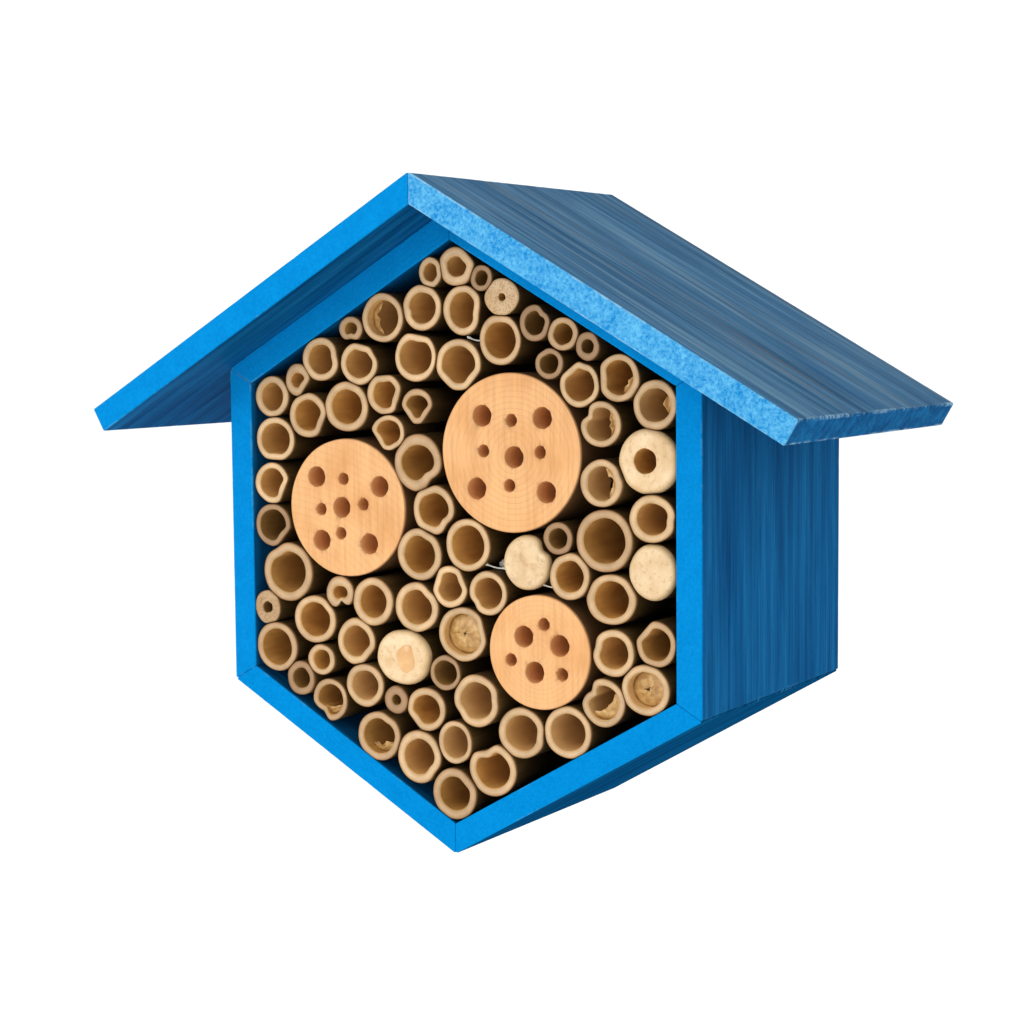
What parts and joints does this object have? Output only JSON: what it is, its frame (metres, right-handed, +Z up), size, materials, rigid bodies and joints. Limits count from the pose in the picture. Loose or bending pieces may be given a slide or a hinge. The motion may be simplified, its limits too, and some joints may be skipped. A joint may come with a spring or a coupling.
{
  "type": "insect hotel",
  "caption": "Wall-hung insect hotel: a blue hexagonal board box under a pitched roof, packed with bamboo canes and drilled log rounds.",
  "frame": {"origin": "centre of the back face, on the wall's plane, at mid-height of the hexagonal box", "axes": "+X right seen from the front, +Y into the wall, +Z up"},
  "size_m": [0.298, 0.155, 0.2523],
  "materials": {
    "painted_box_board": "blue satin paint on softwood",
    "painted_roof_board": "blue paint, brushed thin over the grain",
    "back_board": "dark blue paint",
    "log_wood": "sawn end grain, bare",
    "bamboo": "natural, sawn ends",
    "hanger_steel": "zinc plated",
    "screw_steel": "zinc plated",
    "brad_steel": "plain",
    "hot_melt_glue": "milky"
  },
  "bodies": {
    "root": {"frame_brads": "brad_steel", "roof_brads": "brad_steel", "left_wall": "painted_box_board", "right_wall": "painted_box_board", "upper_left_wall": "painted_box_board", "upper_right_wall": "painted_box_board", "lower_left_wall": "painted_box_board", "lower_right_wall": "painted_box_board", "left_roof_panel": "painted_roof_board", "right_roof_panel": "painted_roof_board", "hanger_screws": "screw_steel", "hanger_plate": "hanger_steel", "back_panel": "back_board", "large_log": "log_wood", "medium_log": "log_wood", "small_log": "log_wood", "cane_06": "bamboo", "cane_07": "bamboo", "cane_11": "bamboo", "cane_13": "bamboo", "cane_17": "bamboo", "cane_25": "bamboo", "cane_26": "bamboo", "cane_29": "bamboo", "cane_30": "bamboo", "cane_31": "bamboo", "cane_34": "bamboo", "cane_35": "bamboo", "cane_36": "bamboo", "cane_39": "bamboo", "cane_40": "bamboo", "cane_41": "bamboo", "cane_42": "bamboo", "cane_44": "bamboo", "cane_46": "bamboo", "cane_49": "bamboo", "cane_50": "bamboo", "cane_53": "bamboo", "cane_54": "bamboo", "cane_56": "bamboo", "cane_57": "bamboo", "cane_58": "bamboo", "cane_61": "bamboo", "cane_62": "bamboo", "cane_65": "bamboo", "cane_69": "bamboo", "cane_70": "bamboo", "cane_72": "bamboo", "cane_73": "bamboo", "cane_74": "bamboo", "cane_75": "bamboo", "thin_canes_ridge": "bamboo", "thin_canes_upper_right": "bamboo", "thin_canes_lower_right": "bamboo", "thin_canes_foot": "bamboo", "thin_canes_lower_left": "bamboo", "thin_canes_upper_left": "bamboo", "glue_beads": "hot_melt_glue"}
  },
  "joints": []
}
